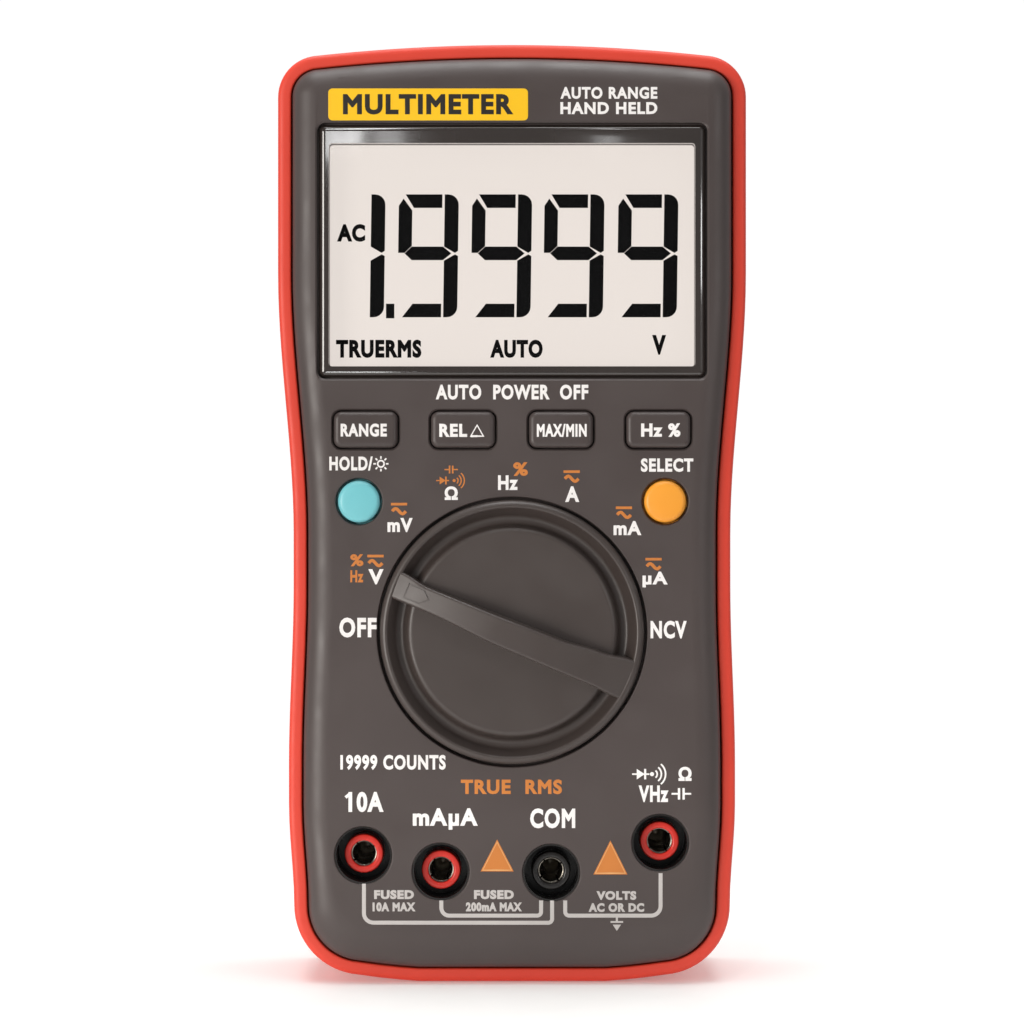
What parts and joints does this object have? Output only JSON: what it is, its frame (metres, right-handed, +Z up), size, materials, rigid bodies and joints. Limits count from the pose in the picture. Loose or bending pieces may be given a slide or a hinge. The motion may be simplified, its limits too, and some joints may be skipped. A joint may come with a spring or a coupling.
{
  "type": "digital multimeter",
  "caption": "Handheld digital multimeter in a rubber boot, with a turning selector knob, sprung buttons, recessed test jacks, tilt stand and lift-off battery door.",
  "frame": {"origin": "middle of the bottom end, midway between the knob's crest and the boot's back", "axes": "+Z up the length of the meter, -Y out of the display side, +X to the right of the display"},
  "size_m": [0.09, 0.047, 0.18],
  "materials": {
    "boot_red": "satin moulded elastomer",
    "case_grey": "fine spark-eroded texture",
    "knob_grey": "smooth satin",
    "window_clear": "clear gloss",
    "lcd_glass": "grey reflective liquid crystal",
    "light_guide": "frosted",
    "inner_plastic": "moulded",
    "elastomer": "striped carbon elastomer",
    "board_green": "solder mask",
    "contact_brass": "stamped",
    "socket_nickel": "nickel plated",
    "screw_steel": "zinc plated",
    "button_grey": "smooth satin",
    "button_teal": "smooth satin",
    "button_amber": "smooth satin",
    "jack_red": "moulded",
    "jack_black": "moulded",
    "fuse_ceramic": "glazed ceramic tube with nickel caps",
    "fuse_glass": "glass tube with nickel caps",
    "chip_black": "moulded epoxy",
    "switch_black": "moulded",
    "cell_jacket": "printed foil jacket"
  },
  "bodies": {
    "housing": {"front_case": "case_grey", "rear_case": "case_grey", "rubber_boot": "boot_red", "case_screw_upper_left": "screw_steel", "case_screw_upper_right": "screw_steel", "case_screw_lower_left": "screw_steel", "case_screw_lower_right": "screw_steel", "display_window": "window_clear", "lcd_panel": "lcd_glass", "lcd_backlight": "light_guide", "lcd_holder": "inner_plastic", "zebra_strip_upper": "elastomer", "zebra_strip_lower": "elastomer", "range_switch": "switch_black", "relative_switch": "switch_black", "maxmin_switch": "switch_black", "frequency_switch": "switch_black", "hold_switch": "switch_black", "select_switch": "switch_black", "jack_collar_10a": "jack_red", "jack_socket_10a": "socket_nickel", "jack_collar_ma": "jack_red", "jack_socket_ma": "socket_nickel", "jack_collar_com": "jack_black", "jack_socket_com": "socket_nickel", "jack_collar_volts": "jack_red", "jack_socket_volts": "socket_nickel", "main_pcb": "board_green", "measuring_chip": "chip_black", "buzzer": "chip_black", "voltage_antenna": "contact_brass", "current_shunt": "contact_brass", "fuse_10a": "fuse_ceramic", "fuse_ma": "fuse_glass", "fuse_clip_10a_lower": "contact_brass", "fuse_clip_10a_upper": "contact_brass", "fuse_clip_ma_lower": "contact_brass", "fuse_clip_ma_upper": "contact_brass", "battery_left": "cell_jacket", "battery_right": "cell_jacket", "battery_bridge": "socket_nickel", "battery_spring": "socket_nickel", "battery_button": "socket_nickel"},
    "selector": {"selector_knob": "knob_grey", "rotor_disc": "inner_plastic", "rotor_contacts": "contact_brass", "detent_ball_a": "screw_steel", "detent_ball_b": "screw_steel", "detent_spring_a": "screw_steel", "detent_spring_b": "screw_steel"},
    "range_key": {"range_button": "button_grey"},
    "relative_key": {"relative_button": "button_grey"},
    "maxmin_key": {"maxmin_button": "button_grey"},
    "frequency_key": {"frequency_button": "button_grey"},
    "hold_key": {"hold_button": "button_teal"},
    "select_key": {"select_button": "button_amber"},
    "stand": {"tilt_stand": "case_grey"},
    "door": {"battery_door": "case_grey", "battery_door_screw": "screw_steel"}
  },
  "joints": [
    {"name": "selector_turn", "type": "hinge", "parent": "housing", "child": "selector", "pos_m": [0, 0, 0.0673], "axis": [0, 1, 0], "range_deg": [-22.5, 157.5]},
    {"name": "range_press", "type": "slide", "parent": "housing", "child": "range_key", "axis": [0, 1, 0], "range_m": [0, 0.001], "stiffness_N_per_m": 1500, "springref_m": -0.0003},
    {"name": "relative_press", "type": "slide", "parent": "housing", "child": "relative_key", "axis": [0, 1, 0], "range_m": [0, 0.001], "stiffness_N_per_m": 1500, "springref_m": -0.0003},
    {"name": "maxmin_press", "type": "slide", "parent": "housing", "child": "maxmin_key", "axis": [0, 1, 0], "range_m": [0, 0.001], "stiffness_N_per_m": 1500, "springref_m": -0.0003},
    {"name": "frequency_press", "type": "slide", "parent": "housing", "child": "frequency_key", "axis": [0, 1, 0], "range_m": [0, 0.001], "stiffness_N_per_m": 1500, "springref_m": -0.0003},
    {"name": "hold_press", "type": "slide", "parent": "housing", "child": "hold_key", "axis": [0, 1, 0], "range_m": [0, 0.001], "stiffness_N_per_m": 1500, "springref_m": -0.0003},
    {"name": "select_press", "type": "slide", "parent": "housing", "child": "select_key", "axis": [0, 1, 0], "range_m": [0, 0.001], "stiffness_N_per_m": 1500, "springref_m": -0.0003},
    {"name": "stand_hinge", "type": "hinge", "parent": "housing", "child": "stand", "pos_m": [0, 0.0201, 0.122], "axis": [1, 0, 0], "range_deg": [0, 70]},
    {"name": "door_lift", "type": "slide", "parent": "housing", "child": "door", "axis": [0, 1, 0], "range_m": [0, 0.02]}
  ]
}
